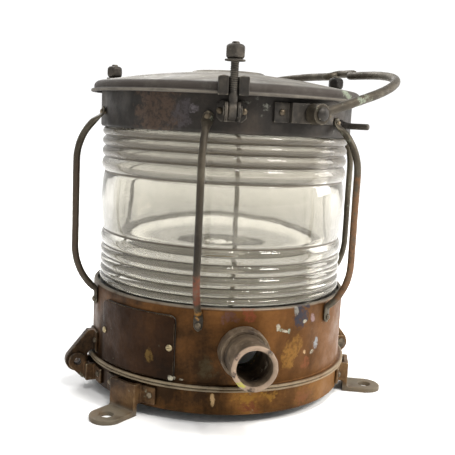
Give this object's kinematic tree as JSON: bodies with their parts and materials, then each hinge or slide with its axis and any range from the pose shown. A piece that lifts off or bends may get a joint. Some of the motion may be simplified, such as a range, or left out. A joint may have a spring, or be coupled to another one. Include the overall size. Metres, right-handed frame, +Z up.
{
  "type": "ship lantern",
  "caption": "All-round ship's lantern: ribbed glass drum on a hinged brass base, with guard rods, a clamped lid, a folding bail and a side cable tube.",
  "frame": {"origin": "on the lantern's axis, in the plane its three feet stand on", "axes": "+Z up along the axis; -Y is the front, where the cable tube leaves the base; +X is to its right as seen from the front"},
  "size_m": [0.2815, 0.3035, 0.2906],
  "materials": {
    "base_brass": "aged copper-brown with worn yellow patches",
    "top_bronze": "dark grey-brown patina",
    "fittings_bronze": "dark patina, worn at the edges",
    "guard_rods": "grey-green tarnish",
    "gasket_rubber": "matt",
    "lens_glass": "clear with a little film",
    "deck_enamel": "white enamel, stained",
    "porcelain": "glazed porcelain",
    "contact_brass": "bright",
    "terminal_bakelite": "bakelite",
    "lead_insulation": "varnished"
  },
  "bodies": {
    "mounting_base": {"mounting_ring": "base_brass", "foot_left": "base_brass", "foot_right": "base_brass", "foot_rear": "base_brass", "hinge_bracket": "base_brass", "lock_bracket": "base_brass", "hinge_pin": "fittings_bronze", "ring_rivets": "fittings_bronze"},
    "lantern_body": {"base_shell": "base_brass", "hinge_lug": "fittings_bronze", "lock_lug": "fittings_bronze", "shell_rivets": "fittings_bronze", "cable_tube": "fittings_bronze", "tube_collar": "fittings_bronze", "access_cover": "base_brass", "cover_gasket": "gasket_rubber", "cover_screws": "fittings_bronze", "deck_plate": "deck_enamel", "lower_gasket": "gasket_rubber", "lens": "lens_glass", "upper_gasket": "gasket_rubber", "top_band": "top_bronze", "guard_rod_1": "guard_rods", "guard_rod_2": "guard_rods", "guard_rod_3": "guard_rods", "guard_rod_4": "guard_rods", "guard_rod_5": "guard_rods", "guard_rod_6": "guard_rods", "clamp_bracket_front": "fittings_bronze", "clamp_bracket_right": "fittings_bronze", "clamp_bracket_left": "fittings_bronze", "bracket_pins": "fittings_bronze", "bail_strap_front": "fittings_bronze", "bail_strap_rear": "fittings_bronze", "bail_pins": "fittings_bronze", "band_rivets": "fittings_bronze", "lashing_peg": "fittings_bronze", "lampholder": "porcelain", "socket_shell": "contact_brass", "centre_contact": "contact_brass", "terminal_block": "terminal_bakelite", "terminal_screws": "contact_brass", "lead_wires": "lead_insulation"},
    "bail": {"bail_handle": "guard_rods"},
    "lid_body": {"lid": "top_bronze", "lid_gasket": "gasket_rubber", "lid_lugs": "top_bronze", "lid_rivets": "fittings_bronze"},
    "bolt_front": {"swing_bolt_front": "fittings_bronze"},
    "bolt_right": {"swing_bolt_right": "fittings_bronze"},
    "bolt_left": {"swing_bolt_left": "fittings_bronze"},
    "washer_front_body": {"washer_front": "fittings_bronze"},
    "washer_right_body": {"washer_right": "fittings_bronze"},
    "washer_left_body": {"washer_left": "fittings_bronze"},
    "nut_front_body": {"nut_front": "fittings_bronze"},
    "nut_right_body": {"nut_right": "fittings_bronze"},
    "nut_left_body": {"nut_left": "fittings_bronze"}
  },
  "joints": [
    {"name": "base_tilt", "type": "hinge", "parent": "mounting_base", "child": "lantern_body", "pos_m": [0.12606, 0.02223, 0.025], "axis": [-0.1736, 0.9848, 0], "range_deg": [0, 90]},
    {"name": "lid_lift", "type": "slide", "parent": "lantern_body", "child": "lid_body", "axis": [0, 0, 1], "range_m": [0, 0.015]},
    {"name": "bail_swing", "type": "hinge", "parent": "lantern_body", "child": "bail", "pos_m": [0, 0, 0.243], "axis": [0.3907, -0.9205, 0], "range_deg": [-10, 146]},
    {"name": "bolt_front_swing", "type": "hinge", "parent": "lantern_body", "child": "bolt_front", "pos_m": [-0.01924, -0.12149, 0.242], "axis": [0.9877, -0.1564, 0], "range_deg": [0, 142.5]},
    {"name": "bolt_right_swing", "type": "hinge", "parent": "lantern_body", "child": "bolt_right", "pos_m": [0.11483, 0.04408, 0.242], "axis": [-0.3584, 0.9336, 0], "range_deg": [0, 142.5]},
    {"name": "bolt_left_swing", "type": "hinge", "parent": "lantern_body", "child": "bolt_left", "pos_m": [-0.09559, 0.07741, 0.242], "axis": [-0.6293, -0.7771, 0], "range_deg": [0, 142.5]},
    {"name": "washer_front_travel", "type": "slide", "parent": "bolt_front", "child": "washer_front_body", "axis": [0, 0, 1], "range_m": [-0.0102, 0.0014]},
    {"name": "nut_front_turn", "type": "hinge", "parent": "washer_front_body", "child": "nut_front_body", "pos_m": [-0.01924, -0.12149, 0.28], "axis": [0, 0, 1], "range_deg": [-2880, 396]},
    {"name": "washer_right_travel", "type": "slide", "parent": "bolt_right", "child": "washer_right_body", "axis": [0, 0, 1], "range_m": [-0.0017, 0.0014]},
    {"name": "nut_right_turn", "type": "hinge", "parent": "washer_right_body", "child": "nut_right_body", "pos_m": [0.11483, 0.04408, 0.28], "axis": [0, 0, 1], "range_deg": [-468, 396]},
    {"name": "washer_left_travel", "type": "slide", "parent": "bolt_left", "child": "washer_left_body", "axis": [0, 0, 1], "range_m": [-0.0017, 0.0014]},
    {"name": "nut_left_turn", "type": "hinge", "parent": "washer_left_body", "child": "nut_left_body", "pos_m": [-0.09559, 0.07741, 0.28], "axis": [0, 0, 1], "range_deg": [-468, 396]}
  ],
  "couplings": [
    {"joint": "bolt_front_swing", "follows": "lid_lift", "rad_per_m": 165.81},
    {"joint": "bolt_right_swing", "follows": "lid_lift", "rad_per_m": 165.81},
    {"joint": "bolt_left_swing", "follows": "lid_lift", "rad_per_m": 165.81},
    {"joint": "washer_front_travel", "follows": "nut_front_turn", "m_per_rad": 0.00020213},
    {"joint": "washer_right_travel", "follows": "nut_right_turn", "m_per_rad": 0.00020213},
    {"joint": "washer_left_travel", "follows": "nut_left_turn", "m_per_rad": 0.00020213}
  ]
}
